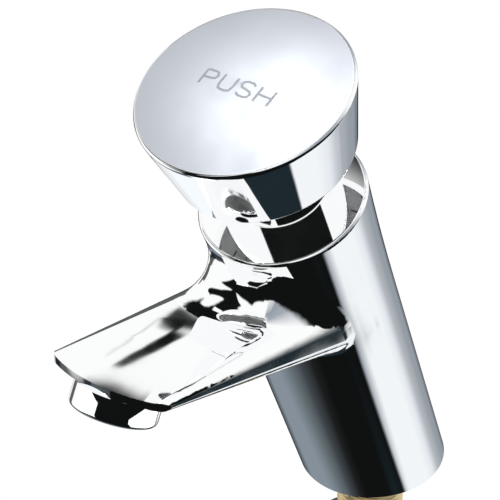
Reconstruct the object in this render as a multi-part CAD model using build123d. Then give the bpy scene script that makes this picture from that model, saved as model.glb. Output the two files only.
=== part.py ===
from build123d import *
import os
from math import cos, radians, sin, sqrt, tan

# Push timed tap: a chromed column that leans toward the user, a flat spout cast in one piece with it,
# and a broad conical button on top.  Millimetres.  The deck is the plane z = 0, the spout points to -Y,
# and X runs across.  A "level" is measured along the column's leaning axis from the deck's centre hole.

# One overrun for every cut, and the gaps between parts
overrun = 3.0
fit_gap = 0.3
running_gap = 0.05

# Column, leaning forward over the basin
lean_angle = 23.2
column_radius = 22.0
column_length = 124.8
column_edge_radius = 1.0
column_flare = 0.9
column_flare_length = 42.0

# Spout
spout_reach = 123.0
spout_tip_drop = 17.0
spout_rise_angle = 7.2
spout_tip_width = 35.8
spout_side_inset = 2.5
spout_tip_thickness = 2.0
spout_root_thickness = 17.3
spout_bow = 4.7
spout_corner_radius = 5.0
spout_blend_radius = 10.0
spout_blend_wall_share = 0.65
spout_crown_share = 0.0123
spout_top_corner_share = 0.5
spout_bottom_corner_share = 0.25

# Water way inside the casting
cartridge_bore_radius = 13.5
cartridge_depth = 44.8
valve_chamber_radius = 8.5
valve_chamber_rise = 8.0
inlet_hole_radius = 6.5
inlet_hole_length = 12.0
socket_depth = 18.0
channel_width = 18.0
channel_end_setback = 11.0
channel_height_share = 0.42

# Threaded inlet shank, G 1/2
shank_radius = 10.48
shank_bore_radius = 6.0
shank_tail_length = 66.0
shank_tail_thread = 14.0
shank_relief_width = 2.0
shank_relief_depth = 0.6
shank_chamfer = 1.0
shank_clearance = 0.12
shank_seal_thickness = 2.0

# Seals and clamp parts at the deck
base_gasket_inset = 1.6
base_gasket_width = 2.6
base_gasket_thickness = 2.0
clamp_gap = 34.0
rubber_washer_radius = 19.5
rubber_washer_thickness = 2.5
metal_washer_radius = 19.0
metal_washer_thickness = 1.5
backnut_height = 8.0
backnut_across_flats = 30.0
backnut_flange_radius = 18.0
backnut_flange_thickness = 2.0
backnut_chamfer = 1.0

# Filter and flow regulator in the tail
regulator_bore_radius = 7.0
regulator_gap = 1.3
regulator_thickness = 4.5
regulator_hole_radius = 1.1
regulator_hole_circle = 4.2
regulator_hole_count = 6
filter_flange_thickness = 1.2
filter_body_radius = 5.0
filter_body_length = 12.0
filter_wall = 0.8
filter_slot_width = 1.2
filter_slot_height = 7.0
filter_slot_count = 8

# Aerator
aerator_tilt = 28.0
aerator_overhang = 0.8
aerator_radius = 11.3
aerator_length = 6.4
aerator_wall = 1.5
aerator_lip_height = 1.2
aerator_lip_width = 1.8
aerator_edge_radius = 1.5
collar_top_depth = 1.2
outlet_roof = 1.0
nozzle_wall = 1.8
nozzle_length = 2.0
aerator_washer_thickness = 1.0
aerator_hole_radius = 0.6
aerator_hole_pitch = 2.0
aerator_hole_rings = 3

# Valve seat and cartridge housing
seat_flange_thickness = 2.0
seat_spigot_height = 3.0
seat_nose_height = 1.0
seat_nose_width = 1.2
seat_washer_overlap = 0.4
housing_wall = 1.6
housing_window_height = 8.0
housing_window_start = 5.0
housing_window_width = 11.0
housing_window_count = 4
o_ring_radius = 0.75

# Cartridge head and the chromed sleeve round it
head_thread_length = 10.8
head_flange_overlap = 0.6
head_flange_thickness = 2.5
head_hex_step = 1.4
head_hex_height = 6.7
head_neck_radius = 9.0
head_neck_proud = 0.5
sleeve_wall = 1.6
sleeve_top_thickness = 2.0
sleeve_edge_radius = 0.8
sleeve_nut_flats = 22.0
sleeve_nut_height = 2.5

# Push button
button_gap = 18.5
button_skirt_height = 22.1
button_bottom_radius = 23.9
button_rim_radius = 28.3
button_dome = 2.8
button_wall = 2.2
button_shoulder = 0.8
button_rim_round = 1.0
button_foot_round = 0.6
button_travel = 8.0
button_end_gap = 1.6
hub_thickness = 5.0
hub_plate_thickness = 1.8
hub_boss_radius = 7.0
hub_rim_width = 3.0
hub_rib_width = 1.6
hub_rib_count = 6
grub_radius = 1.5
grub_length = 4.6
grub_socket_flats = 1.5
grub_socket_depth = 1.6

# Spindle, timing piston and valve
spindle_radius = 3.5
spindle_tail_radius = 2.5
spindle_tip = 1.0
stop_collar_radius = 6.0
stop_collar_height = 3.0
cup_seal_height = 2.6
cup_seal_wall = 1.3
piston_height = 5.0
piston_groove_depth = 0.9
piston_groove_width = 1.6
clip_radius = 5.0
clip_thickness = 1.0
clip_opening_share = 0.5
spring_wire_radius = 0.7
spring_mean_radius = 7.6
spring_turns = 5
valve_washer_thickness = 4.4
valve_flow_gap = 1.9
plunger_height = 4.5
plunger_lip = 1.5
valve_nut_height = 3.0
valve_nut_flats = 7.0

# Levels and places worked out from the sizes above
lean = radians(lean_angle)
column_plane = Plane(origin=(0, 0, 0), x_dir=(1, 0, 0), z_dir=(0, -sin(lean), cos(lean)))
floor_level = column_length - cartridge_depth
valve_chamber_start = socket_depth + valve_chamber_rise

spout_tip_height = column_length * cos(lean) - spout_tip_drop
spout_root_reach = spout_tip_height * tan(lean)
spout_root_half = column_radius - spout_side_inset

tilt = radians(aerator_tilt)
aerator_top_reach = spout_reach + aerator_overhang - aerator_radius * cos(tilt)
aerator_top_height = spout_tip_height - spout_tip_thickness - aerator_radius * sin(tilt)
aerator_reach = aerator_top_reach + aerator_length * sin(tilt)
aerator_height = aerator_top_height - aerator_length * cos(tilt)
aerator_centre = (0, -aerator_reach, aerator_height)
aerator_plane = Plane(origin=aerator_centre, x_dir=(1, 0, 0), z_dir=(0, sin(tilt), cos(tilt)))
aerator_inner_radius = aerator_radius - aerator_wall
nozzle_radius = aerator_inner_radius - running_gap
nozzle_bore_radius = nozzle_radius - nozzle_wall
nozzle_end = aerator_length - nozzle_length
collar_top = aerator_length + aerator_radius

base_gasket_radius = column_radius - base_gasket_inset
base_gasket_inner_radius = base_gasket_radius - base_gasket_width
socket_radius = shank_radius + shank_clearance
shank_top = socket_depth - shank_seal_thickness
rubber_washer_top = -clamp_gap
metal_washer_top = rubber_washer_top - rubber_washer_thickness
backnut_top = metal_washer_top - metal_washer_thickness
tail_end = -shank_tail_length
filter_bottom = tail_end + shank_chamfer
filter_top = filter_bottom + filter_flange_thickness + filter_body_length
regulator_bottom = filter_top + regulator_gap
regulator_top = regulator_bottom + regulator_thickness

housing_bottom = floor_level + seat_flange_thickness
seat_top = housing_bottom + seat_spigot_height
housing_radius = cartridge_bore_radius - fit_gap
housing_inner_radius = housing_radius - housing_wall
head_bottom = column_length - head_thread_length
head_shoulder = column_length + head_flange_thickness + head_hex_height
head_flange_radius = cartridge_bore_radius + head_flange_overlap
head_hex_flats = sqrt(3) * (head_flange_radius - head_hex_step)
sleeve_radius = head_flange_radius + fit_gap + sleeve_wall

skirt_level = column_length + button_gap
rim_level = skirt_level + button_skirt_height
ceiling_level = rim_level - button_shoulder
button_slope = (button_rim_radius - button_bottom_radius) / button_skirt_height
hub_bottom = ceiling_level - hub_thickness
hub_middle = ceiling_level - hub_thickness / 2
neck_top = hub_bottom - button_travel - button_end_gap
sleeve_nut_top = neck_top - head_neck_proud
sleeve_top = sleeve_nut_top - sleeve_nut_height

stop_level = head_bottom - fit_gap
stop_bottom = stop_level - stop_collar_height
piston_top = stop_bottom - cup_seal_height
piston_bottom = piston_top - piston_height
washer_top = floor_level - seat_nose_height - running_gap
plunger_top = washer_top - valve_washer_thickness
plunger_bottom = plunger_top - plunger_height
valve_nut_bottom = plunger_bottom - valve_nut_height
valve_washer_radius = valve_chamber_radius - valve_flow_gap
seat_opening_radius = valve_washer_radius - seat_washer_overlap - seat_nose_width


def rod(radius, low, high):
    """Cylinder about the local Z axis from low to high."""
    return Pos(0, 0, low) * Cylinder(radius, high - low, align=(Align.CENTER, Align.CENTER, Align.MIN))


def ring(outer, inner, low, high):
    """Tube about the local Z axis."""
    return rod(outer, low, high) - rod(inner, low - overrun, high + overrun)


def o_ring(centre_radius, level):
    """Rubber ring of round section."""
    return Pos(0, 0, level) * Torus(centre_radius, o_ring_radius)


def hex_prism(flats, low, high):
    """Hexagonal prism of the given width across flats."""
    face = RegularPolygon(flats / 2, 6, major_radius=False)
    return Pos(0, 0, low) * extrude(face, high - low)


def turned(points):
    """Solid turned about the local Z axis from an outline of (radius, height) points."""
    face = make_face(Polyline(*points, points[0]))
    return revolve(Plane.XZ * face, Axis.Z)


def around(shape, count):
    """Copies of a shape spread evenly about the local Z axis."""
    return [Rot(0, 0, 360 * i / count) * shape for i in range(count)]


def on_column(shape):
    """Moves a shape modelled about the local Z axis onto the leaning axis of the column."""
    return column_plane.location * shape


def on_aerator(shape):
    """Moves a shape modelled about the local Z axis onto the axis of the jet."""
    return aerator_plane.location * shape


def spout_top(reach):
    """Height of the spout's upper surface at a distance in front of the deck hole."""
    return spout_tip_height - (spout_reach - reach) * tan(radians(spout_rise_angle))


def spout_thickness(reach):
    """Thickness of the spout, falling evenly from its root to its tip."""
    share = (spout_reach - reach) / (spout_reach - spout_root_reach)
    return spout_tip_thickness + (spout_root_thickness - spout_tip_thickness) * share


def spout_half_width(reach):
    """Half the width of the spout, changing evenly from its root to its tip."""
    share = (spout_reach - reach) / (spout_reach - spout_root_reach)
    return spout_tip_width / 2 + (spout_root_half - spout_tip_width / 2) * share


def spout_section(reach):
    """Section of the spout square to Y: crowned on top, flat below, with round corners."""
    half = spout_half_width(reach)
    thickness = spout_thickness(reach)
    shoulder = -spout_crown_share * 2 * half
    crown = ThreePointArc((-half, shoulder), (0, 0), (half, shoulder))
    sides = Polyline((half, shoulder), (half, -thickness), (-half, -thickness), (-half, shoulder))
    face = make_face([crown, sides])
    face = fillet(face.vertices().group_by(Axis.Y)[0], spout_bottom_corner_share * thickness)
    face = fillet(face.vertices().group_by(Axis.Y)[-1], spout_top_corner_share * thickness)
    return Plane(origin=(0, -reach, spout_top(reach)), x_dir=(1, 0, 0), z_dir=(0, -1, 0)).location * face


def spout_plan():
    """Outline of the spout from above, with the bowed tip and its round corners."""
    corner_reach = spout_reach - spout_bow
    half = spout_half_width(corner_reach)
    tip = ThreePointArc((-half, -corner_reach), (0, -spout_reach), (half, -corner_reach))
    back = Polyline((half, -corner_reach), (spout_root_half, -spout_root_reach),
                    (-spout_root_half, -spout_root_reach), (-half, -corner_reach))
    face = make_face([tip, back])
    return fillet(face.vertices().group_by(Axis.Y)[0], spout_corner_radius)


def channel_section(reach):
    """Section of the flat water channel inside the spout."""
    thickness = spout_thickness(reach)
    height = channel_height_share * thickness
    face = RectangleRounded(channel_width, height, height / 3)
    middle = spout_top(reach) - thickness / 2
    return Plane(origin=(0, -reach, middle), x_dir=(1, 0, 0), z_dir=(0, -1, 0)).location * face


def spout_blank():
    """The spout before it joins the column."""
    blank = loft([spout_section(spout_root_reach), spout_section(spout_reach)], ruled=True)
    return blank & extrude(spout_plan(), spout_tip_height + column_length)


def column_blank():
    """Round column that flares a little toward its rounded top edge."""
    low = (column_radius, -column_radius)
    waist = (column_radius, column_length - column_flare_length)
    top = (column_radius + column_flare, column_length)
    side = Polyline((0, column_length), (0, -column_radius), low, waist)
    face = make_face([side, TangentArc(waist, top, tangent=(0, 1)), Line(top, (0, column_length))])
    corner = face.vertices().sort_by(Axis.X)[-1]
    return on_column(revolve(Plane.XZ * fillet(corner, column_edge_radius), Axis.Z))


def blend_radius():
    """Radius of the blend, limited by the wall between the spout's root and the column's rim."""
    front = column_radius / cos(lean)
    height = spout_top(front) / (1 - tan(radians(spout_rise_angle)) * tan(lean))
    level = (front + height * tan(lean)) * sin(lean) + height * cos(lean)
    return min(spout_blend_radius, spout_blend_wall_share * (column_length - level))


def casting_blank():
    """Column and spout blended into one outside form, cut off flat at the deck."""
    column = column_blank()
    spout = spout_blank()
    blank = column + spout
    blank = fillet(new_edges(column, spout, combined=blank), blend_radius())
    below = Pos(0, 0, -column_length / 2) * Box(column_length, column_length, column_length)
    return blank - below


def under_spout_top(depth):
    """Block below a plane that runs parallel to the spout's upper surface at a depth under it."""
    rise = radians(spout_rise_angle)
    tip = (0, -spout_reach, spout_tip_height)
    plane = Plane(origin=tip, x_dir=(1, 0, 0), z_dir=(0, sin(rise), cos(rise)))
    block = Box(spout_reach, spout_reach, spout_reach)
    return plane.location * (Pos(0, 0, -depth - spout_reach / 2) * block)


def outlet_collar():
    """Collar under the spout's tip and the nozzle that the aerator's ring goes over."""
    collar = on_aerator(rod(aerator_radius, aerator_length, collar_top))
    collar &= extrude(spout_plan(), spout_tip_height + column_length)
    collar += on_aerator(rod(nozzle_radius, nozzle_end, collar_top))
    return collar & under_spout_top(collar_top_depth)


def outlet_chamber():
    """Hollow over the aerator, closed by the spout's thin roof."""
    chamber = on_aerator(rod(nozzle_bore_radius, nozzle_end - overrun, collar_top))
    return chamber & under_spout_top(outlet_roof)


def tap_body():
    """Column and spout casting with its water way, cartridge bore, inlet socket and nozzle."""
    body = casting_blank() + outlet_collar() - outlet_chamber()
    channel_end = spout_reach - channel_end_setback
    body -= loft([channel_section(spout_root_reach), channel_section(channel_end)], ruled=True)
    body -= on_column(rod(cartridge_bore_radius, floor_level, column_length + overrun))
    body -= on_column(rod(valve_chamber_radius, valve_chamber_start, floor_level + overrun))
    body -= rod(socket_radius, -overrun, socket_depth)
    body -= rod(inlet_hole_radius, socket_depth - overrun, socket_depth + inlet_hole_length)
    body -= ring(base_gasket_radius, base_gasket_inner_radius, -overrun, base_gasket_thickness)
    return body


def base_gasket():
    """Rubber ring let into the foot of the column."""
    outer = base_gasket_radius - running_gap
    return ring(outer, base_gasket_inner_radius + running_gap, 0, base_gasket_thickness)


def inlet_shank():
    """Threaded pipe that clamps the tap to the deck and brings the water in."""
    relief_low = tail_end + shank_tail_thread
    relief_high = relief_low + shank_relief_width
    shank = rod(shank_radius, tail_end, shank_top)
    shank -= ring(shank_radius + overrun, shank_radius - shank_relief_depth, relief_low, relief_high)
    ends = shank.edges().filter_by(GeomType.CIRCLE).sort_by(Axis.Z)
    shank = chamfer([ends[0], ends[-1]], shank_chamfer)
    shank -= rod(shank_bore_radius, tail_end - overrun, shank_top + overrun)
    return shank - rod(regulator_bore_radius, tail_end - overrun, regulator_top)


def shank_seal():
    """Flat rubber ring between the shank's top and the end of its socket."""
    return ring(shank_radius - running_gap, inlet_hole_radius + fit_gap, shank_top, socket_depth)


def clamp_rubber():
    """Rubber washer that presses against the deck from below."""
    return ring(rubber_washer_radius, socket_radius, metal_washer_top, rubber_washer_top)


def clamp_washer():
    """Steel washer under the rubber one."""
    return ring(metal_washer_radius, socket_radius, backnut_top, metal_washer_top)


def backnut():
    """Flanged hexagon nut on the shank."""
    flange_low = backnut_top - backnut_flange_thickness
    low = backnut_top - backnut_height
    nut = hex_prism(backnut_across_flats, low, flange_low)
    cone_radius = backnut_across_flats / 2 + backnut_chamfer
    cone = turned([(0, low), (cone_radius - backnut_chamfer, low),
                   (cone_radius + backnut_height, flange_low), (0, flange_low)])
    nut = (nut & cone) + rod(backnut_flange_radius, flange_low, backnut_top)
    return nut - rod(socket_radius, low - overrun, backnut_top + overrun)


def flow_regulator():
    """Disc with a ring of small holes that limits the flow."""
    disc = rod(regulator_bore_radius - running_gap, regulator_bottom, regulator_top)
    hole = rod(regulator_hole_radius, regulator_bottom - overrun, regulator_top + overrun)
    hole = Pos(regulator_hole_circle, 0, 0) * hole
    return disc - around(hole, regulator_hole_count)


def inlet_filter():
    """Slotted strainer pushed into the tail."""
    flange_high = filter_bottom + filter_flange_thickness
    cup = rod(regulator_bore_radius - running_gap, filter_bottom, flange_high)
    cup += rod(filter_body_radius, filter_bottom, filter_top)
    cup -= rod(filter_body_radius - filter_wall, filter_bottom - overrun, filter_top - filter_wall)
    slot_middle = (flange_high + filter_top) / 2
    slot = Box(2 * filter_wall + overrun, filter_slot_width, filter_slot_height)
    return cup - around(Pos(filter_body_radius, 0, slot_middle) * slot, filter_slot_count)


def aerator_housing():
    """Chromed ring screwed over the nozzle, with an inward lip that holds the insert."""
    lip = aerator_inner_radius - aerator_lip_width
    shell = rod(aerator_radius, 0, aerator_length)
    foot = shell.edges().filter_by(GeomType.CIRCLE).sort_by(Axis.Z)[0]
    shell = fillet(foot, aerator_edge_radius)
    shell -= rod(aerator_inner_radius, aerator_lip_height, aerator_length + overrun)
    return on_aerator(shell - rod(lip, -overrun, aerator_length))


def aerator_insert():
    """Flow straightener: a plate with rings of small holes."""
    low = aerator_lip_height
    high = nozzle_end - aerator_washer_thickness
    plate = rod(aerator_inner_radius - fit_gap, low, high)
    hole = rod(aerator_hole_radius, low - overrun, high + overrun)
    for k in range(aerator_hole_rings):
        circle_radius = aerator_hole_pitch * (k + 1)
        plate -= around(Pos(circle_radius, 0, 0) * hole, 6 * (k + 1))
    return on_aerator(plate - hole)


def aerator_washer():
    """Rubber washer between the insert and the nozzle."""
    low = nozzle_end - aerator_washer_thickness
    return on_aerator(ring(nozzle_radius, nozzle_bore_radius, low, nozzle_end))


def valve_seat():
    """Brass seat ring with the raised nose that the valve washer closes on."""
    flange = ring(housing_radius, seat_opening_radius, floor_level, housing_bottom)
    spigot = ring(housing_inner_radius - running_gap, seat_opening_radius, housing_bottom, seat_top)
    nose_radius = seat_opening_radius + seat_nose_width
    nose = ring(nose_radius, seat_opening_radius, floor_level - seat_nose_height, floor_level)
    middle = (valve_chamber_radius + housing_radius) / 2
    groove_top = floor_level + 2 * o_ring_radius
    groove = ring(middle + o_ring_radius, middle - o_ring_radius, floor_level, groove_top)
    return on_column(flange + spigot + nose - groove)


def seat_seal():
    """O-ring under the valve seat's flange."""
    return on_column(o_ring((valve_chamber_radius + housing_radius) / 2, floor_level + o_ring_radius))


def cartridge_housing():
    """Plastic tube of the timing chamber, with windows to the spout at its lower end."""
    tube = ring(housing_radius, housing_inner_radius, housing_bottom, head_bottom)
    low = housing_bottom + housing_window_start
    window = Pos(0, housing_radius, low + housing_window_height / 2)
    window = window * Box(housing_window_width, housing_radius, housing_window_height)
    return on_column(tube - around(window, housing_window_count))


def cartridge_head():
    """Brass head screwed into the column: thread, flange, hexagon and the spindle's guide."""
    head = rod(cartridge_bore_radius - running_gap, head_bottom, column_length)
    head += rod(head_flange_radius, column_length, column_length + head_flange_thickness)
    head += hex_prism(head_hex_flats, column_length + head_flange_thickness, head_shoulder)
    head += rod(head_neck_radius, head_shoulder, sleeve_nut_top + head_neck_proud)
    seal_radius = cartridge_bore_radius - running_gap - o_ring_radius
    head -= ring(cartridge_bore_radius + overrun, seal_radius - o_ring_radius,
                 head_seal_level() - o_ring_radius, head_seal_level() + o_ring_radius)
    head -= rod(spindle_radius + running_gap, head_bottom - overrun, sleeve_nut_top + 2 * overrun)
    for level in spindle_seal_levels():
        gland = spindle_radius + running_gap + 2 * o_ring_radius + running_gap
        head -= rod(gland, level - o_ring_radius - running_gap, level + o_ring_radius + running_gap)
    return on_column(head)


def head_seal_level():
    """Level of the O-ring in the head's thread end."""
    return head_bottom + 2 * o_ring_radius


def spindle_seal_levels():
    """Levels of the two O-rings that wipe the spindle."""
    return [head_shoulder + head_neck_radius / 3, head_shoulder + 2 * head_neck_radius / 3]


def head_seal():
    """O-ring between the cartridge head and the column's bore."""
    return on_column(o_ring(cartridge_bore_radius - running_gap - o_ring_radius, head_seal_level()))


def spindle_seals():
    """Two O-rings round the spindle, as separate solids."""
    centre_radius = spindle_radius + running_gap + o_ring_radius
    return Compound([on_column(o_ring(centre_radius, level)) for level in spindle_seal_levels()])


def neck_sleeve():
    """Chromed sleeve that covers the cartridge head between the column and the button."""
    sleeve = rod(sleeve_radius, column_length, sleeve_top)
    top = sleeve.edges().filter_by(GeomType.CIRCLE).sort_by(Axis.Z)[-1]
    sleeve = fillet(top, sleeve_edge_radius)
    sleeve -= rod(sleeve_radius - sleeve_wall, column_length - overrun, sleeve_top - sleeve_top_thickness)
    return on_column(sleeve - rod(head_neck_radius + running_gap, column_length, sleeve_top + overrun))


def sleeve_nut():
    """Thin hexagon nut that holds the sleeve down on the head's neck."""
    nut = hex_prism(sleeve_nut_flats, sleeve_top, sleeve_nut_top)
    return on_column(nut - rod(head_neck_radius + running_gap, sleeve_top - overrun, sleeve_nut_top + overrun))


def cap_inner_radius(level):
    """Inner radius of the button's conical wall at a level."""
    return button_bottom_radius - button_wall + (level - skirt_level) * button_slope


def grub_hole(radius, start, end):
    """Cylinder along the grub screw's axis, toward the back of the button."""
    return Pos(0, start, hub_middle) * (Rot(-90, 0, 0) * rod(radius, 0, end - start))


def button_cap():
    """Broad conical push button: domed top, flared wall, hollow and open below."""
    dome = TangentArc((0, rim_level + button_dome), (button_rim_radius, rim_level), tangent=(1, 0))
    wall = Polyline((button_rim_radius, rim_level), (button_bottom_radius, skirt_level),
                    (button_bottom_radius - button_wall, skirt_level),
                    (cap_inner_radius(ceiling_level), ceiling_level), (0, ceiling_level),
                    (0, rim_level + button_dome))
    face = make_face([dome, wall])
    rim = face.vertices().sort_by(Axis.X)[-1]
    face = fillet(rim, button_rim_round)
    foot = face.vertices().group_by(Axis.Y)[0]
    face = fillet(foot, button_foot_round)
    cap = revolve(Plane.XZ * face, Axis.Z)
    cap -= grub_hole(grub_radius + running_gap, hub_radius() - overrun, button_rim_radius + overrun)
    return on_column(cap)


def hub_radius():
    """Radius of the hub, which lies inside the conical wall."""
    return min(cap_inner_radius(hub_bottom), cap_inner_radius(ceiling_level)) - fit_gap


def button_hub():
    """Ribbed hub that joins the button to the spindle."""
    radius = hub_radius()
    hub = rod(radius, ceiling_level - hub_plate_thickness, ceiling_level)
    hub += ring(radius, radius - hub_rim_width, hub_bottom, ceiling_level)
    hub += rod(hub_boss_radius, hub_bottom, ceiling_level)
    rib = Pos(radius / 2, 0, hub_middle) * Box(radius - hub_rim_width, hub_rib_width, hub_thickness)
    for copy in around(Rot(0, 0, 180 / hub_rib_count) * rib, hub_rib_count):
        hub += copy
    hub -= rod(spindle_radius + running_gap, hub_bottom - overrun, ceiling_level - hub_plate_thickness)
    hole_start = radius - hub_rim_width + running_gap
    return on_column(hub - grub_hole(grub_radius + running_gap, hole_start, radius + overrun))


def grub_screw():
    """Headless screw through the back of the button into the hub."""
    start = hub_radius() - hub_rim_width + 2 * running_gap
    screw = grub_hole(grub_radius, start, start + grub_length)
    socket = RegularPolygon(grub_socket_flats / 2, 6, major_radius=False)
    socket = Rot(-90, 0, 0) * extrude(socket, grub_socket_depth + overrun)
    return on_column(screw - Pos(0, start + grub_length - grub_socket_depth, hub_middle) * socket)


def spindle():
    """Steel spindle from the button's hub down to the valve, with its stop collar."""
    top = ceiling_level - hub_plate_thickness - running_gap
    bar = rod(spindle_radius, stop_bottom, top)
    bar += rod(stop_collar_radius, stop_bottom, stop_level)
    bar += rod(spindle_tail_radius, valve_nut_bottom - spindle_tip, stop_bottom)
    return on_column(bar)


def cup_seal():
    """Rubber cup of the timing piston, its lip turned up toward the timing chamber."""
    outer = housing_inner_radius - 3 * running_gap
    cup = ring(outer, spindle_tail_radius + running_gap, piston_top, stop_bottom)
    well = ring(outer - cup_seal_wall, stop_collar_radius + running_gap,
                piston_top + cup_seal_wall, stop_bottom + overrun)
    return on_column(cup - well)


def piston():
    """Plastic timing piston with a groove round it."""
    radius = housing_inner_radius - fit_gap
    body = ring(radius, spindle_tail_radius + running_gap, piston_bottom, piston_top)
    middle = (piston_bottom + piston_top) / 2
    groove = ring(radius + overrun, radius - piston_groove_depth, middle - piston_groove_width / 2,
                  middle + piston_groove_width / 2)
    return on_column(body - groove)


def piston_clip():
    """Open spring clip under the piston."""
    clip = ring(clip_radius, spindle_tail_radius + running_gap, piston_bottom - clip_thickness, piston_bottom)
    gap_width = clip_opening_share * clip_radius
    slot = Pos(0, clip_radius, piston_bottom) * Box(gap_width, 2 * clip_radius, 2 * clip_thickness + overrun)
    return on_column(clip - slot)


def return_spring():
    """Coil spring between the valve seat and the piston."""
    low = seat_top + spring_wire_radius + running_gap
    high = piston_bottom - spring_wire_radius - running_gap
    path = Pos(0, 0, low) * Helix((high - low) / spring_turns, high - low, spring_mean_radius)
    start = path.edges()[0]
    plane = Plane(origin=start @ 0, z_dir=start % 0)
    return on_column(sweep(plane * Circle(spring_wire_radius), path=path))


def valve_washer():
    """Rubber washer that closes against the seat's nose from below."""
    return on_column(ring(valve_washer_radius, spindle_tail_radius + running_gap, plunger_top, washer_top))


def valve_plunger():
    """Brass carrier of the valve washer."""
    carrier = rod(valve_washer_radius + plunger_lip / 2, plunger_bottom, plunger_top)
    lower = carrier.edges().filter_by(GeomType.CIRCLE).sort_by(Axis.Z)[0]
    carrier = chamfer(lower, plunger_lip)
    bore = rod(spindle_tail_radius + running_gap, plunger_bottom - overrun, plunger_top + overrun)
    return on_column(carrier - bore)


def valve_nut():
    """Small nut that holds the plunger on the spindle."""
    nut = hex_prism(valve_nut_flats, valve_nut_bottom, plunger_bottom)
    bore = rod(spindle_tail_radius + running_gap, valve_nut_bottom - overrun, plunger_bottom + overrun)
    return on_column(nut - bore)


parts = [
    tap_body, base_gasket, inlet_shank, shank_seal, clamp_rubber, clamp_washer, backnut, flow_regulator,
    inlet_filter, aerator_housing, aerator_insert, aerator_washer, valve_seat, seat_seal, cartridge_housing,
    cartridge_head, head_seal, spindle_seals, neck_sleeve, sleeve_nut, button_cap, button_hub, grub_screw,
    spindle, cup_seal, piston, piston_clip, return_spring, valve_washer, valve_plunger, valve_nut,
]

os.makedirs("parts", exist_ok=True)
for make in parts:
    export_step(make(), f"parts/{make.__name__}.step")
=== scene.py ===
import math

import bmesh
import bpy
from mathutils import Matrix, Vector
from mathutils.bvhtree import BVHTree


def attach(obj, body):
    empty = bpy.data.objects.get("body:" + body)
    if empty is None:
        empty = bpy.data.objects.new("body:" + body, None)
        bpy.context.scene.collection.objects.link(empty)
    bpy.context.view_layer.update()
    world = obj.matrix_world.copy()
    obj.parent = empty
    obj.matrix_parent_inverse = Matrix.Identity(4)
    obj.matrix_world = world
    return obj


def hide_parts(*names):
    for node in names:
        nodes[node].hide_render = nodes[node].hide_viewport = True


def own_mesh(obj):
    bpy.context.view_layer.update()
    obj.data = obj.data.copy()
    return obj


# Push timed tap.  Metres and degrees.  The deck is the plane z = 0, the spout points to -Y, and the
# column leans toward the spout.  A level is measured along the column's leaning axis from the deck.

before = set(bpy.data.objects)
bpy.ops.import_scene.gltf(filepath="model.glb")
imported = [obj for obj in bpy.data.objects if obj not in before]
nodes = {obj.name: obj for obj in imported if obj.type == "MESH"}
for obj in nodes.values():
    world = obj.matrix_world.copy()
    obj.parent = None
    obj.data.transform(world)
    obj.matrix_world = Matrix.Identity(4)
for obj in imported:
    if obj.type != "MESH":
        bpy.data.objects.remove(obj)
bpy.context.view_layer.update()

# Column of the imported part
lean = math.radians(23.2)
along = Vector((0, -math.sin(lean), math.cos(lean)))
backward = Vector((0, math.cos(lean), math.sin(lean)))
across = Vector((1, 0, 0))
column_radius = 0.022
flare_start = 0.0828  # level above which the column widens
flare_arc = 0.98045  # radius of the arc on which it widens

# Shading of the column and of its blend with the spout
blend_middle = (0, -0.058, 0.092)
blend_reach = 0.026
blend_rounds = 6  # rounds of evening out its normals
column_tolerance = 0.00002  # how near its true surface a point of the column lies
column_skin = 0.0002  # how far inside the column's radius a point still counts as outside
least_likeness = 0.8  # cosine between two normals that count as alike

# Threaded tail
shank_radius = 0.01048
shank_top = 0.016
shank_end = -0.066
shank_bevel = 0.001
shank_bore_radius = 0.006
filter_seat_radius = 0.007
filter_seat_height = -0.0463
relief_low = -0.052
relief_high = -0.050
relief_depth = 0.0006
thread_pitch = 0.001814
thread_depth = 0.00075
thread_flank = 1.25  # steepness of the thread's sides
thread_crest = 0.12  # share of the depth that its flat crest takes
shank_sides = 72
rings_per_pitch = 8

# Return spring
spring_low = 0.08575
spring_high = 0.09655
spring_wire_radius = 0.0007
spring_mean_radius = 0.0076
spring_turns = 5
spring_closing = 0.07  # how much nearer the turns lie at both ends
spring_steps = 48
wire_sides = 14

# Lettering on the button: plain strokes, measured on the button's top
letter_height = 0.0047
letter_width = 0.0040
letter_gap = 0.0016
letter_baseline = -0.0040
stroke_width = 0.00062
stroke_proud = 0.00003
stroke_sunk = 0.00025
stroke_step = 0.0006
mitre_limit = 0.5
above_button = 0.25  # level from which the strokes are dropped onto the button

# Each letter's strokes, in a cell one wide and one high
upright = [(0.0, 0.0), (0.0, 1.0)]
bowl_p = [(0.0, 1.0), (0.62, 1.0), (0.86, 0.95), (0.98, 0.75), (0.86, 0.55), (0.62, 0.5),
          (0.0, 0.5)]
cup_u = [(0.0, 1.0), (0.0, 0.3), (0.1, 0.08), (0.32, 0.0), (0.68, 0.0), (0.9, 0.08), (1.0, 0.3),
         (1.0, 1.0)]
curve_s = [(0.95, 0.86), (0.75, 1.0), (0.3, 1.0), (0.08, 0.9), (0.03, 0.72), (0.15, 0.56),
           (0.5, 0.5), (0.85, 0.42), (0.97, 0.26), (0.9, 0.09), (0.7, 0.0), (0.25, 0.0),
           (0.03, 0.14)]
letters = [
    [upright, bowl_p],
    [cup_u],
    [curve_s],
    [upright, [(1.0, 0.0), (1.0, 1.0)], [(0.0, 0.5), (1.0, 0.5)]],
]

# Finishes.  Colours are linear shares, and noise scales are in cycles per metre.
chrome_color = (0.97, 0.975, 0.98)
chrome_haze = (0.02, 0.055)
satin_levels = (0.16545, 0.16565)
satin_color = (0.47, 0.49, 0.53)
satin_roughness = (0.48, 0.56)
brass_color = (0.78, 0.62, 0.34)
steel_color = (0.62, 0.62, 0.63)
rubber_color = (0.05, 0.05, 0.055)
acetal_color = (0.85, 0.86, 0.86)
letter_color = (0.34, 0.36, 0.40)
wave_height = 0.0004
grain_height = 0.00005
noise_range = (0.3, 0.7)
haze_range = (0.35, 0.75)

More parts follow.
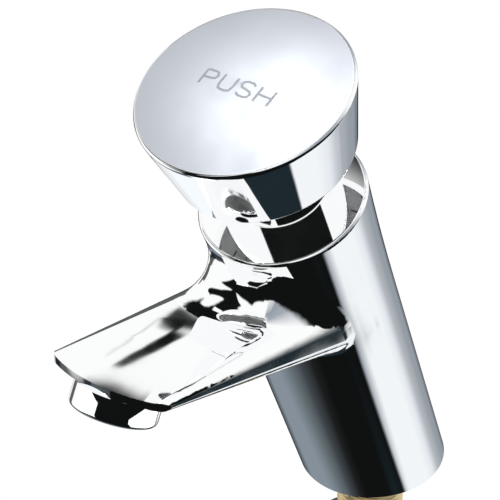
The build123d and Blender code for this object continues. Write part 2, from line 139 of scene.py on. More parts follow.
# Floor
floor_height = shank_end
floor_reach = 3
floor_share = 0.45  # share of the light on it that the floor gives back

# Camera
camera_direction = (38.0, 31.99)  # azimuth and elevation, seen from its target
camera_distance = 0.470
camera_target = Vector((-0.01788, -0.03966, 0.08678))
camera_lens = 121.755  # this and the next in millimetres
camera_sensor = 36

# Lamps.  Each strip: name, middle, direction that it faces, direction of its width, width, height
# and radiance
key_direction = (-86, 73)
key_distance = 1.2
key_width = 0.337
key_radiance = 12
power_per_radiance = 4  # for each square metre of lamp
fill_level = 0.72  # what matt surfaces get from the white surroundings
strip_lamps = [
    ("cone_strip", (-0.018, -0.078, 0.118), (0, 0, 1), (1, 0, 0), 0.032, 0.024, 0.55),
    ("ring_strip_left", (-0.0127, -0.1393, 0.0909), (0.53, 0.848, 0), (0.848, -0.53, 0),
     0.0296, 0.016, 1.0),
    ("ring_strip_right", (0.0174, -0.1143, 0.0807), (-0.94, -0.342, 0), (-0.342, 0.94, 0),
     0.0225, 0.0149, 1.0),
]

# Fields of tone that the chrome mirrors, laid over white surroundings one after the other.
# Each band has a softness, a shape and a tint.  The shape's rows are an azimuth, a low and a high
# elevation and, where it differs from the band's, a softness.  The tint is one display colour, or
# rows of an azimuth and a colour.  The colours are given.
white = (255, 255, 255)
near_white = (245, 248, 250)
pearl_grey = (230, 235, 240)
mist_grey = (180, 185, 190)
silver_grey = (150, 157, 165)
steel_grey = (135, 145, 155)
pewter_grey = (100, 110, 115)
lead_grey = (65, 70, 75)
iron_grey = (30, 32, 32)
night_blue = (30, 42, 48)
slate = (24, 30, 36)
black = (16, 18, 18)
bands = {
    "rear_left": (
        20,
        [(-180, -12, 60), (-152, -12, 60)],
        [(-180, 205, 210, 217), (-168, 150, 158, 167), (-160, 160, 167, 176), (-152, *white)],
    ),
    "rear_right": (
        20,
        [(40, -12, 72, 24), (136, -12, 72, 24), (171, -12, 60), (180, -12, 60)],
        [(40, *white), (75, 150, 158, 168), (105, 165, 172, 181), (136, *white), (171, *white),
         (180, 205, 210, 217)],
    ),
    "floor_band": (
        3,
        [(-180, -95, -24), (-150, -95, -28), (-140, -95, -33), (-60, -95, -40), (-30, -95, -20),
         (-20, -95, 0), (118, -95, -14), (128, -95, -17, 26), (134, -95, -17, 34),
         (145, -95, -17, 34), (154, -95, -19, 8), (180, -95, -20)],
        [(-180, *silver_grey), (-165, *silver_grey), (-140, *pewter_grey), (-115, *steel_grey),
         (-90, *steel_grey), (-60, *pewter_grey), (-25, *lead_grey), (20, *iron_grey),
         (50, *black), (95, *black), (105, *night_blue), (180, *night_blue)],
    ),
    "front_mass": (
        5,
        [(-52, 5, 5), (-42, 1, 12), (-35, -5, 15), (-30, -10, 18), (-25, -60, 22),
         (-18, -60, 30, 6), (-12, -60, 36, 7), (-4, -60, 41, 7), (4, -60, 47, 8), (9, -60, 49, 9),
         (13, -60, 40, 9), (20, -60, 34, 8), (32, -60, 28, 6), (42, -60, 25, 6), (55, -60, 20),
         (60, -60, 18), (75, -60, 16, 6), (90, -60, 13, 9), (100, -60, 10, 12), (115, -60, 6, 13),
         (130, -60, 5, 13), (134, -60, 4, 13), (135, -60, -60)],
        black,
    ),
    "white_band": (
        5,
        [(108, -52, -50), (116, -56, -46), (122, -58, -44, 4), (128, -62, -41, 3),
         (135, -64, -38.4, 0.8), (136, -64, -38.1, 0.6), (138, -63, -37.3, 0.6),
         (140, -62, -36.7, 0.6), (142, -62, -35.8, 0.6), (144, -62, -35.1, 0.8),
         (145, -62, -33.5, 1), (146, -62, -32, 1.5), (148, -62, -30, 2), (160, -58, -24, 4),
         (170, -56, -22), (180, -55, -20)],
        [(110, *silver_grey), (120, *near_white), (145, *near_white), (155, *pearl_grey),
         (165, *mist_grey), (180, *silver_grey)],
    ),
    "arc": (
        5,
        [(-147, 28.5, 30, 0.8), (-145.5, 28, 50, 0.8), (-144, 27.2, 60, 0.8), (-142.5, 26, 60, 1),
         (-141, 25.3, 60, 1), (-139.8, 24.7, 60, 1), (-138.5, 25.4, 60, 1.2), (-137, 26.5, 60, 1.5),
         (-135, 27.8, 60, 2), (-133, 29, 60, 2.3), (-130, 30.6, 60, 3), (-110, 37, 64),
         (-93, 39, 68), (-88, 41, 68), (-80, 41, 69, 4), (-77.5, 38, 70, 4), (-76, 22, 70, 4),
         (-70, 21, 70, 4), (-50, 24, 70, 4), (-44, 23, 68, 4), (-38, 22, 65.5), (-32, 21, 62),
         (-28, 16, 60), (-24, 15, 58), (-20, 45, 56), (-18, 50, 53), (-17, 52, 52)],
        black,
    ),
    "opening": (
        4,
        [(-114, 45, 45), (-105, 41.5, 48), (-95, 40, 50), (-90, 38, 51), (-85, 37, 51.5),
         (-77, 35, 51), (-70, 34.5, 50.5), (-65, 34.5, 49), (-55, 37, 46), (-50, 40, 43),
         (-48, 41.5, 41.5)],
        white,
    ),
}

# Bands that only repeated reflections show
second_bands = {
    "second_high": (
        3,
        [(-40, 60, 70), (-30, 56, 75), (0, 56, 75), (12, 60, 70)],
        black,
    ),
    "second_front": (
        3,
        [(-8, 24, 24), (-3, 19, 31), (10, 18, 33), (20, 20, 35), (30, 22, 38), (40, 25, 41),
         (50, 29, 45), (70, 37, 55), (79, 42, 59), (84, 46, 60), (88, 54, 54)],
        black,
    ),
}

# Small convex flags, each with a softness, a strength, a display colour and its corners as azimuth
# and elevation
small_flags = {
    "shoulder": (1.5, 1, white, [(-106, 53), (-106, 61), (-90, 61), (-90, 53)]),
    "halo": (
        6, 0.35, slate,
        [(-165.7, -20.6), (-151.1, -9.5), (-132.9, -9.5), (-118.3, -20.6), (-113.5, -38),
         (-126.9, -53.4), (-157.1, -53.4), (-170.5, -38)],
    ),
    "edge": (4, 0.9, slate, [(-162, 15), (-158, -36), (-126, -36), (-122, 15)]),
    "ring_edge": (3, 0.9, slate, [(-106, 6), (-106, -38), (-86, -38), (-86, 6)]),
    "lower_edge": (1.5, 1, black, [(157, -50), (157, -62), (-142, -62), (-142, -36)]),
    "tip_edge": (2, 0.9, slate, [(-106, -27), (-106, -41), (-46, -47), (-46, -35)]),
    "outline": (
        5, 0.9, slate,
        [(-157.3, -25.3), (-148, -18), (-136, -18), (-126.7, -25.3), (-124.7, -36.6),
         (-133.9, -45.6), (-150.1, -45.6), (-159.3, -36.6)],
    ),
    "streak": (
        0.35, 1, black,
        [(-142.65, 20.5), (-142.05, 21.35), (-142.25, 21.9), (-143.6, 23.15), (-144.6, 22.55),
         (-144, 22)],
    ),
    "streak_end": (0.3, 1, black, [(-144.9, 23.55), (-144.6, 22.55), (-144, 22.2), (-143.9, 23)]),
    "patch": (
        0.35, 1, black,
        [(-144.6, 23.75), (-143.8, 24.15), (-142.4, 25.15), (-141.5, 24.45), (-142.1, 23.8),
         (-143.45, 22.85)],
    ),
    "hairline": (
        0.3, 0.35, black,
        [(-142.1, 21.4), (-140.7, 23.3), (-140.5, 23.1), (-142, 21.2)],
    ),
}

# A colour ramp holds shares from 0 to 1, so a band's angles pass through it in these units
lowest_elevation = -100
elevation_span = 200
softness_span = 40
turn_margin = 1e-6  # keeps a band's first and last azimuth inside it

# Ray depth above which a mirrored ray finds the second bands instead of the first
second_reflection = 2.5


def heading(azimuth, elevation):
    """Unit direction from an azimuth, 0 toward -Y and 90 toward +X, and an elevation."""
    a, e = math.radians(azimuth), math.radians(elevation)
    return Vector((math.sin(a) * math.cos(e), -math.cos(a) * math.cos(e), math.sin(e)))


# Meshes
def new_object(name, data):
    """Links an object with the data to the scene."""
    piece = bpy.data.objects.new(name, data)
    bpy.context.scene.collection.objects.link(piece)
    return piece


def mesh_from(name, points, faces):
    """Mesh from points and faces, with its normals outward."""
    shape = bmesh.new()
    corners = [shape.verts.new(point) for point in points]
    for face in faces:
        shape.faces.new([corners[i] for i in face])
    bmesh.ops.recalc_face_normals(shape, faces=shape.faces)
    mesh = bpy.data.meshes.new(name)
    shape.to_mesh(mesh)
    shape.free()
    return mesh


def smooth_piece(name, points, faces, degrees):
    """Object from points and faces, shaded smooth but for edges sharper than the angle."""
    mesh = mesh_from(name, points, faces)
    for polygon in mesh.polygons:
        polygon.use_smooth = True
    mesh.set_sharp_from_angle(angle=math.radians(degrees))
    return new_object(name, mesh)


def ring_faces(rings, sides, closed=False):
    """Faces that join each ring of points to the next, and the last to the first where closed."""
    faces = []
    for i in range(rings if closed else rings - 1):
        j = (i + 1) % rings
        for k in range(sides):
            n = (k + 1) % sides
            faces.append((i * sides + k, i * sides + n, j * sides + n, j * sides + k))
    return faces


def capped_faces(rings, sides):
    """Faces of a row of rings with a face over each end."""
    last = (rings - 1) * sides
    return ring_faces(rings, sides) + [tuple(range(sides)), tuple(range(last, last + sides))]


def tube_points(path, radius, sides, first_side):
    """Rings of points round a path, each square to it."""
    points = []
    side = first_side
    for i, centre in enumerate(path):
        ahead = path[min(i + 1, len(path) - 1)] - path[max(i - 1, 0)]
        ahead.normalize()
        side = (side - ahead * side.dot(ahead)).normalized()
        other = ahead.cross(side)
        for k in range(sides):
            turn = 2 * math.pi * k / sides
            points.append(centre + radius * (math.cos(turn) * side + math.sin(turn) * other))
    return points


def return_spring():
    """Coil spring round the spindle, with closed end turns."""
    count = spring_turns * spring_steps
    path = []
    for i in range(count + 1):
        share = i / count
        eased = share - spring_closing * math.sin(2 * math.pi * share)
        level = spring_low + (spring_high - spring_low) * eased
        turn = 2 * math.pi * spring_turns * share
        outward = math.cos(turn) * across + math.sin(turn) * backward
        path.append(level * along + spring_mean_radius * outward)
    points = tube_points(path, spring_wire_radius, wire_sides, along.copy())
    faces = capped_faces(len(path), wire_sides)
    return smooth_piece("return_spring_wire", points, faces, degrees=50)


def thread_radius(height, turn):
    """Radius of the tail's rolled thread at a height and an angle."""
    below_relief = (shank_end + shank_bevel, relief_low)
    above_relief = (relief_high, shank_top - shank_bevel)
    for low, high in (below_relief, above_relief):
        if low <= height <= high:
            phase = (height / thread_pitch - turn / (2 * math.pi)) % 1
            run_out = min(1, (height - low) / thread_pitch, (high - height) / thread_pitch)
            valley = 1 - abs(2 * phase - 1)
            profile = min(1, max(0, thread_flank * valley - thread_crest))
            return shank_radius - thread_depth * run_out * profile
    if relief_low < height < relief_high:
        return shank_radius - relief_depth
    return shank_radius


def threaded_shank():
    """Brass tail with its rolled thread, relief groove and stepped bore."""
    thread_top = shank_top - shank_bevel
    rim_radius = shank_radius - shank_bevel
    heights = [shank_end + shank_bevel]
    while heights[-1] + thread_pitch / rings_per_pitch < thread_top:
        heights.append(heights[-1] + thread_pitch / rings_per_pitch)
    heights.append(thread_top)
    outside = [(shank_end, rim_radius)] + [(height, None) for height in heights]
    outside.append((shank_top, rim_radius))
    inside = [(shank_top, shank_bore_radius), (filter_seat_height, shank_bore_radius),
              (filter_seat_height, filter_seat_radius), (shank_end, filter_seat_radius)]
    points = []
    for height, plain_radius in outside + inside:
        for k in range(shank_sides):
            turn = 2 * math.pi * k / shank_sides
            radius = plain_radius or thread_radius(height, turn)
            points.append(Vector((radius * math.cos(turn), radius * math.sin(turn), height)))
    faces = ring_faces(len(outside) + len(inside), shank_sides, closed=True)
    return smooth_piece("threaded_shank", points, faces, degrees=35)


def button_surface():
    """Function that drops a point of the button's top onto its outer surface, along the lean."""
    cap = nodes["button_cap"].data
    corners = [vertex.co for vertex in cap.vertices]
    tree = BVHTree.FromPolygons(corners, [tuple(polygon.vertices) for polygon in cap.polygons])

    def surface(right, back):
        start = right * across + back * backward + above_button * along
        return tree.ray_cast(start, -along)[0]
    return surface


def stroke_edges(line):
    """Left and right edges of a stroke, with mitred corners."""
    left, right = [], []
    for i, point in enumerate(line):
        before = (point - line[i - 1]).normalized() if i > 0 else None
        after = (line[i + 1] - point).normalized() if i < len(line) - 1 else None
        ahead = ((before or after) + (after or before)).normalized()
        normal = Vector((-ahead.y, ahead.x))
        straight = after or before
        widen = 1 / max(mitre_limit, abs(Vector((-straight.y, straight.x)).dot(normal)))
        left.append(point + normal * stroke_width / 2 * widen)
        right.append(point - normal * stroke_width / 2 * widen)
    return left, right


def finer(line, step):
    """The same line with more points, so that it follows the dome."""
    points = [line[0]]
    for a, b in zip(line, line[1:]):
        count = max(1, math.ceil((b - a).length / step))
        for i in range(count):
            points.append(a.lerp(b, (i + 1) / count))
    return points


def push_lettering():
    """The printed word on the button, as thin inlaid strokes that follow the dome."""
    surface = button_surface()
    total = len(letters) * letter_width + (len(letters) - 1) * letter_gap
    points = []
    faces = []
    for index, strokes in enumerate(letters):
        left_edge = -total / 2 + index * (letter_width + letter_gap)
        for stroke in strokes:
            line = [Vector((left_edge + u * letter_width, letter_baseline + v * letter_height))
                    for u, v in stroke]
            left, right = stroke_edges(finer(line, stroke_step))
            base = len(points)
            for a, b in zip(left, right):
                ring = ((a, stroke_proud), (b, stroke_proud), (b, -stroke_sunk), (a, -stroke_sunk))
                for edge, lift in ring:
                    points.append(surface(edge.x, edge.y) + lift * along)
            faces += [tuple(base + i for i in face) for face in capped_faces(len(left), 4)]
    return smooth_piece("push_lettering", points, faces, degrees=40)


# Parts of node trees.  A value that one of these takes is a socket or a constant.
def feed(tree, socket, value):
    """Links a socket to another, or sets it to a constant."""
    if isinstance(value, bpy.types.NodeSocket):
        tree.links.new(value, socket)
    elif value is not None:
        socket.default_value = value


def calculate(tree, operation, a, b=None, clamp=False):
    """Result of an operation on one or two numbers."""
    node = tree.nodes.new("ShaderNodeMath")
    node.operation = operation
    node.use_clamp = clamp
    feed(tree, node.inputs[0], a)
    feed(tree, node.inputs[1], b)
    return node.outputs[0]


def vector_math(tree, operation, a, b=None):
    """Result of an operation on one or two vectors."""
    node = tree.nodes.new("ShaderNodeVectorMath")
    node.operation = operation
    feed(tree, node.inputs[0], a)
    feed(tree, node.inputs["Scale" if operation == "SCALE" else 1], b)
    return node.outputs["Value" if operation in ("DOT_PRODUCT", "LENGTH") else "Vector"]


def mixed(tree, share, below, above):
    """Colour mixed from one to another."""
    node = tree.nodes.new("ShaderNodeMix")
    node.data_type = "RGBA"
    tree.links.new(share, node.inputs["Factor"])
    for socket, value in ((node.inputs[6], below), (node.inputs[7], above)):
        feed(tree, socket, value if isinstance(value, bpy.types.NodeSocket) else (*value, 1))
    return node.outputs[2]


def mixed_vector(tree, share, below, above):
    """Vector mixed from one to another."""
    node = tree.nodes.new("ShaderNodeMix")
    node.data_type = "VECTOR"
    tree.links.new(share, node.inputs["Factor"])
    tree.links.new(below, node.inputs[4])
    tree.links.new(above, node.inputs[5])
    return node.outputs[1]


def ramp_over(tree, value, stops):
    """Colour ramp with (position, colour) stops."""
    node = tree.nodes.new("ShaderNodeValToRGB")
    tree.links.new(value, node.inputs["Fac"])
    elements = node.color_ramp.elements
    elements[0].position, elements[0].color = stops[0][0], (*stops[0][1], 1)
    elements[1].position, elements[1].color = stops[-1][0], (*stops[-1][1], 1)
    for position, color in stops[1:-1]:
        element = elements.new(position)
        element.color = (*color, 1)
    return node.outputs["Color"]


def ranged(tree, value, source, target, smooth=False):
    """Value mapped from one range to another and clamped."""
    node = tree.nodes.new("ShaderNodeMapRange")
    if smooth:
        node.interpolation_type = "SMOOTHSTEP"
    feed(tree, node.inputs["Value"], value)
    for name, number in zip(("From Min", "From Max", "To Min", "To Max"), (*source, *target)):
        node.inputs[name].default_value = number
    return node.outputs["Result"]


def smooth_edge(tree, value, width):
    """0 to 1 across an edge of the given width about zero."""
    share = calculate(tree, "ADD", calculate(tree, "DIVIDE", value, width), 0.5)
    return ranged(tree, share, (0, 1), (0, 1), smooth=True)


def noise(tree, scale, detail, stretch=(1, 1, 1)):
    """Noise in object coordinates."""
    place = tree.nodes.new("ShaderNodeTexCoord")
    mapping = tree.nodes.new("ShaderNodeMapping")
    mapping.inputs["Scale"].default_value = stretch
    texture = tree.nodes.new("ShaderNodeTexNoise")
    texture.inputs["Scale"].default_value = scale
    texture.inputs["Detail"].default_value = detail
    tree.links.new(place.outputs["Object"], mapping.inputs["Vector"])
    tree.links.new(mapping.outputs["Vector"], texture.inputs["Vector"])
    return texture.outputs["Fac"]


def bumped(tree, shader, height, strength, distance):
    """Adds a bump from a height value to the shader."""
    bump = tree.nodes.new("ShaderNodeBump")
    bump.inputs["Strength"].default_value = strength
    bump.inputs["Distance"].default_value = distance
    tree.links.new(height, bump.inputs["Height"])
    tree.links.new(bump.outputs["Normal"], shader.inputs["Normal"])


def even_shading(piece):
    """Shades the column by its true round surface, and evens out the shading of its blend."""
    group = bpy.data.node_groups.new("even_shading", "GeometryNodeTree")
    for direction in ("INPUT", "OUTPUT"):
        group.interface.new_socket("Geometry", in_out=direction, socket_type="NodeSocketGeometry")
    entry = group.nodes.new("NodeGroupInput")
    leave = group.nodes.new("NodeGroupOutput")
    position = group.nodes.new("GeometryNodeInputPosition").outputs[0]
    normal = group.nodes.new("GeometryNodeInputNormal").outputs[0]

    def number(operation, a, b=None):
        return calculate(group, operation, a, b)

    def vector(operation, a, b=None):
        return vector_math(group, operation, a, b)

    # The column's true surface at the point's level
    level = vector("DOT_PRODUCT", position, along)
    outward = vector("SUBTRACT", position, vector("SCALE", along, level))
    radius = vector("LENGTH", outward)
    rise = number("MAXIMUM", number("SUBTRACT", level, flare_start), 0)
    slope = number("DIVIDE", rise, flare_arc)
    flare = number("MULTIPLY", number("MULTIPLY", rise, slope), 0.5)
    off = number("ABSOLUTE", number("SUBTRACT", radius, number("ADD", flare, column_radius)))
    tilted = vector("SUBTRACT", vector("NORMALIZE", outward), vector("SCALE", along, slope))
    true_normal = vector("NORMALIZE", tilted)
    facing = number("GREATER_THAN", vector("DOT_PRODUCT", normal, true_normal), least_likeness)
    on_column = number("MULTIPLY", number("LESS_THAN", off, column_tolerance), facing)

    # The blend: normals evened out, but for edges that are meant to be sharp
    distance = vector("LENGTH", vector("SUBTRACT", position, blend_middle))
    outside = number("GREATER_THAN", radius, column_radius - column_skin)
    in_blend = number("MULTIPLY", number("LESS_THAN", distance, blend_reach), outside)
    blur = group.nodes.new("GeometryNodeBlurAttribute")
    blur.data_type = "FLOAT_VECTOR"
    blur.inputs["Iterations"].default_value = blend_rounds
    group.links.new(mixed_vector(group, on_column, normal, true_normal), blur.inputs["Value"])
    group.links.new(in_blend, blur.inputs["Weight"])
    smooth = vector("NORMALIZE", blur.outputs[0])
    alike = number("GREATER_THAN", vector("DOT_PRODUCT", normal, smooth), least_likeness)
    blended = mixed_vector(group, number("MULTIPLY", alike, in_blend), normal, smooth)

    setter = group.nodes.new("GeometryNodeSetMeshNormal")
    setter.mode = "FREE"
    setter.domain = "CORNER"
    group.links.new(entry.outputs[0], setter.inputs["Mesh"])
    final = mixed_vector(group, on_column, blended, true_normal)
    group.links.new(final, setter.inputs["Custom Normal"])
    group.links.new(setter.outputs["Mesh"], leave.inputs[0])
    piece.modifiers.new("even_shading", "NODES").node_group = group


# Materials
def new_material(name):
    """Node material with its tree and its shader."""
    material = bpy.data.materials.new(name)
    material.use_nodes = True
    return material, material.node_tree, material.node_tree.nodes["Principled BSDF"]


def wiping_haze(tree):
    """Roughness of polished chrome, with faint marks of wiping."""
    return ranged(tree, noise(tree, scale=60, detail=6), haze_range, chrome_haze)


def slow_waves(tree):
    """Slight unevenness of a polished surface."""
    return noise(tree, scale=45, detail=2)


def mirror_chrome():
    """Polished chrome with a faint haze of wiping marks."""
    material, tree, shader = new_material("polished_chrome")
    feed(tree, shader.inputs["Base Color"], (*chrome_color, 1))
    feed(tree, shader.inputs["Metallic"], 1)
    feed(tree, shader.inputs["Roughness"], wiping_haze(tree))
    bumped(tree, shader, slow_waves(tree), strength=0.05, distance=wave_height)
    return material


def satin_top_chrome():
    """Mirror chrome on the button's cone and rim, and fine satin with rubbing marks on its dome."""
    material, tree, shader = new_material("button_chrome")
    place = tree.nodes.new("ShaderNodeTexCoord").outputs["Object"]
    level = vector_math(tree, "DOT_PRODUCT", place, along)
    satin = ranged(tree, level, satin_levels, (0, 1), smooth=True)
    feed(tree, shader.inputs["Base Color"], mixed(tree, satin, chrome_color, satin_color))
    feed(tree, shader.inputs["Metallic"], 1)
    polished = calculate(tree, "SUBTRACT", 1, satin)
    rubbed = ranged(tree, noise(tree, scale=110, detail=8), noise_range, satin_roughness)
    rough = calculate(tree, "ADD", calculate(tree, "MULTIPLY", wiping_haze(tree), polished),
                      calculate(tree, "MULTIPLY", rubbed, satin))
    feed(tree, shader.inputs["Roughness"], rough)
    grain = calculate(tree, "MULTIPLY", noise(tree, scale=3200, detail=3), satin)
    waves = calculate(tree, "MULTIPLY", slow_waves(tree), wave_height / grain_height)
    relief = calculate(tree, "ADD", waves, grain)
    bumped(tree, shader, relief, strength=0.05, distance=grain_height)
    return material


def uneven(tree, shader, color, tone, marks, roughness, darkest):
    """Colour between a darker tone and the full one by one noise, and roughness by another."""
    dark = tuple(darkest * share for share in color)
    share = ranged(tree, tone, noise_range, (0, 1))
    feed(tree, shader.inputs["Base Color"], mixed(tree, share, dark, color))
    feed(tree, shader.inputs["Roughness"], ranged(tree, marks, noise_range, roughness))


def turned_metal(name, color, roughness):
    """Machined metal with fine turning marks and a slightly uneven tone."""
    material, tree, shader = new_material(name)
    feed(tree, shader.inputs["Metallic"], 1)
    tone = noise(tree, scale=90, detail=5)
    marks = noise(tree, scale=260, detail=6, stretch=(1, 1, 9))
    uneven(tree, shader, color, tone, marks, roughness, darkest=0.82)
    lines = noise(tree, scale=500, detail=3, stretch=(1, 1, 12))
    bumped(tree, shader, lines, strength=0.15, distance=grain_height)
    return material


def moulded(name, color, roughness, grain, depth):
    """Moulded plastic or rubber with a fine grain and slight differences in tone."""
    material, tree, shader = new_material(name)
    tone = noise(tree, scale=120, detail=5)
    marks = noise(tree, scale=300, detail=6)
    uneven(tree, shader, color, tone, marks, roughness, darkest=0.86)
    bumped(tree, shader, noise(tree, scale=grain, detail=3), strength=0.2, distance=depth)
    return material


def white_floor():
    """Floor that the camera sees as white, but for the object's soft shadow."""
    material, tree, shader = new_material("floor_white")
    tree.nodes.remove(shader)
    diffuse = tree.nodes.new("ShaderNodeBsdfDiffuse")
    feed(tree, diffuse.inputs["Color"], (floor_share, floor_share, floor_share, 1))
    glow = tree.nodes.new("ShaderNodeEmission")
    seen = tree.nodes.new("ShaderNodeLightPath").outputs["Is Camera Ray"]
    feed(tree, glow.inputs["Strength"], calculate(tree, "MULTIPLY", seen, 1 - floor_share))
    both = tree.nodes.new("ShaderNodeAddShader")
    tree.links.new(diffuse.outputs[0], both.inputs[0])
    tree.links.new(glow.outputs[0], both.inputs[1])
    tree.links.new(both.outputs[0], tree.nodes["Material Output"].inputs["Surface"])
    return material


# Surroundings and lamps
def to_linear(color):
    """Linear colour from 0 to 255 display values."""
    shares = [value / 255 for value in color]
    return [s / 12.92 if s < 0.04045 else ((s + 0.055) / 1.055) ** 2.4 for s in shares]


def ramp_place(azimuth):
    """Place of an azimuth on a ramp over the full turn."""
    return (azimuth + 180) / 360


def banded(tree, turn, elevation, color, table):
    """Colour with soft bands laid over it, each between two elevations that change with azimuth."""
    def number(operation, a, b=None, clamp=False):
        return calculate(tree, operation, a, b, clamp)

    def to_elevation(share):
        return number("ADD", number("MULTIPLY", share, elevation_span), lowest_elevation)

    for usual_softness, shape, tint in table.values():
        stops = []
        for azimuth, low, high, *own in shape:
            softness = own[0] if own else usual_softness
            shares = [(edge - lowest_elevation) / elevation_span for edge in (low, high)]
            stops.append((ramp_place(azimuth), (*shares, softness / softness_span)))
        edges = tree.nodes.new("ShaderNodeSeparateColor")
        tree.links.new(ramp_over(tree, turn, stops), edges.inputs[0])
        low, high = to_elevation(edges.outputs[0]), to_elevation(edges.outputs[1])
        softness = number("MULTIPLY", edges.outputs[2], softness_span)
        above = smooth_edge(tree, number("SUBTRACT", elevation, low), softness)
        below = smooth_edge(tree, number("SUBTRACT", high, elevation), softness)
        openness = number("DIVIDE", number("SUBTRACT", high, low), softness, clamp=True)
        after_first = number("GREATER_THAN", turn, stops[0][0] - turn_margin)
        before_last = number("LESS_THAN", turn, stops[-1][0] + turn_margin)
        mask = above
        for share in (below, openness, after_first, before_last):
            mask = number("MULTIPLY", mask, share)
        rows = tint if isinstance(tint, list) else [(-180, *tint), (180, *tint)]
        tints = [(ramp_place(azimuth), to_linear(shade)) for azimuth, *shade in rows]
        color = mixed(tree, mask, color, ramp_over(tree, turn, tints))
    return color


def flagged(tree, place, color, table):
    """Colour with small soft flags laid over it, each a convex shape of directions."""
    for softness, strength, flag_color, corners in table.values():
        points = [heading(*corner) for corner in corners]
        middle = sum(points, Vector()).normalized()
        mask = calculate(tree, "GREATER_THAN", vector_math(tree, "DOT_PRODUCT", place, middle), 0)
        for a, b in zip(points, points[1:] + points[:1]):
            inward = a.cross(b).normalized()
            if inward.dot(middle) < 0:
                inward.negate()
            depth = vector_math(tree, "DOT_PRODUCT", place, inward)
            inside = smooth_edge(tree, depth, math.radians(softness))
            mask = calculate(tree, "MULTIPLY", mask, inside)
        mask = calculate(tree, "MULTIPLY", mask, strength)
        color = mixed(tree, mask, color, to_linear(flag_color))
    return color


def studio_world():
    """White surroundings, in which mirror surfaces also find soft dark bands and flags."""
    world = bpy.data.worlds.new("studio")
    world.use_nodes = True
    tree = world.node_tree
    tree.nodes.clear()
    place = tree.nodes.new("ShaderNodeTexCoord").outputs["Generated"]
    parts = tree.nodes.new("ShaderNodeSeparateXYZ")
    tree.links.new(place, parts.inputs[0])
    x, y, z = parts.outputs
    azimuth = calculate(tree, "ARCTAN2", x, calculate(tree, "MULTIPLY", y, -1))
    turn = calculate(tree, "ADD", calculate(tree, "DIVIDE", azimuth, 2 * math.pi), 0.5)
    elevation = calculate(tree, "DEGREES", calculate(tree, "ARCSINE", z))
    plain_white = to_linear(white)
    first = flagged(tree, place, banded(tree, turn, elevation, plain_white, bands), small_flags)
    second = banded(tree, turn, elevation, plain_white, second_bands)
    rays = tree.nodes.new("ShaderNodeLightPath").outputs
    deep = calculate(tree, "GREATER_THAN", rays["Ray Depth"], second_reflection)
    mirrored = calculate(tree, "MAXIMUM", rays["Is Glossy Ray"], rays["Is Transmission Ray"])
    plain = mixed(tree, rays["Is Diffuse Ray"], plain_white, (fill_level, fill_level, fill_level))
    background = tree.nodes.new("ShaderNodeBackground")
    color = mixed(tree, mirrored, plain, mixed(tree, deep, first, second))
    feed(tree, background.inputs["Color"], color)
    output = tree.nodes.new("ShaderNodeOutputWorld")
    tree.links.new(background.outputs[0], output.inputs["Surface"])
    bpy.context.scene.world = world


def area_lamp(name, shape, middle, toward, side, width, height, radiance):
    """Soft one-sided lamp of a given radiance, unseen by the camera itself."""
    light = bpy.data.lights.new(name, "AREA")
    light.shape = shape
    light.size = width
    light.size_y = height
    light.energy = power_per_radiance * radiance * width * height
    lamp = new_object(name, light)
    rear = -Vector(toward).normalized()
    right = Vector(side).normalized()
    lamp.matrix_world = Matrix((right, rear.cross(right), rear)).transposed().to_4x4()
    lamp.location = middle
    lamp.visible_camera = False
    return lamp


def studio_lamps():
    """Soft key lamp above, and small white strips that only the mirror surfaces show."""
    toward_key = heading(*key_direction)
    side = toward_key.cross(Vector((0, 0, 1)))
    area_lamp("key", "DISK", key_distance * toward_key, -toward_key, side, key_width, key_width,
              key_radiance)
    for name, middle, toward, side, width, height, radiance in strip_lamps:
        strip = area_lamp(name, "RECTANGLE", middle, toward, side, width, height, radiance)
        strip.visible_diffuse = False
        strip.data.use_shadow = False


def studio_camera():
    """Camera that frames the tap as the photograph does."""
    camera = new_object("camera", bpy.data.cameras.new("camera"))
    back = heading(*camera_direction)
    camera.data.lens = camera_lens
    camera.data.sensor_width = camera_sensor
    camera.location = camera_target + camera_distance * back
    camera.rotation_mode = "QUATERNION"
    camera.rotation_quaternion = (-back).to_track_quat("-Z", "Y")
    bpy.context.scene.camera = camera


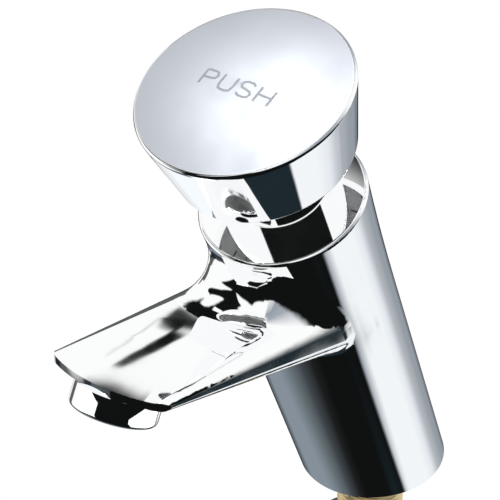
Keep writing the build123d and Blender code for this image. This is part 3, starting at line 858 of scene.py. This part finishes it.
# Finish of every piece
materials = {
    "chrome": mirror_chrome(),
    "button_chrome": satin_top_chrome(),
    "brass": turned_metal("turned_brass", brass_color, roughness=(0.24, 0.40)),
    "steel": turned_metal("stainless_steel", steel_color, roughness=(0.22, 0.36)),
    "rubber": moulded("black_rubber", rubber_color, roughness=(0.55, 0.75),
                      grain=1600, depth=0.00006),
    "plastic": moulded("white_acetal", acetal_color, roughness=(0.32, 0.48),
                       grain=1200, depth=0.00003),
    "print": moulded("grey_print", letter_color, roughness=(0.40, 0.55),
                     grain=2200, depth=0.00002),
}
finishes = {
    "chrome": ["tap_body", "neck_sleeve", "aerator_housing"],
    "button_chrome": ["button_cap"],
    "brass": ["inlet_shank", "backnut", "valve_seat", "cartridge_head", "sleeve_nut",
              "valve_plunger"],
    "steel": ["clamp_washer", "grub_screw", "spindle", "piston_clip", "return_spring", "valve_nut"],
    "rubber": ["base_gasket", "shank_seal", "clamp_rubber", "aerator_washer", "seat_seal",
               "head_seal", "spindle_seals", "cup_seal", "valve_washer"],
    "plastic": ["flow_regulator", "inlet_filter", "aerator_insert", "cartridge_housing", "piston",
                "button_hub"],
}
for finish, names in finishes.items():
    for name in names:
        nodes[name].data.materials.clear()
        nodes[name].data.materials.append(materials[finish])

even_shading(nodes["tap_body"])

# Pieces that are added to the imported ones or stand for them
spring = return_spring()
spring.data.materials.append(materials["steel"])
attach(spring, "tap")
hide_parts("return_spring")
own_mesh(spring)

shank = threaded_shank()
shank.data.materials.append(materials["brass"])
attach(shank, "tap")
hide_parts("inlet_shank")

lettering = push_lettering()
lettering.data.materials.append(materials["print"])
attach(lettering, "button")

# Stage
floor_corners = [Vector((x * floor_reach, y * floor_reach, floor_height))
                 for x, y in ((-1, -1), (1, -1), (1, 1), (-1, 1))]
floor = new_object("floor", mesh_from("floor", floor_corners, [(0, 1, 2, 3)]))
floor.data.materials.append(white_floor())
floor.visible_glossy = False

studio_camera()
studio_world()
studio_lamps()
bpy.context.scene.view_settings.view_transform = "Standard"
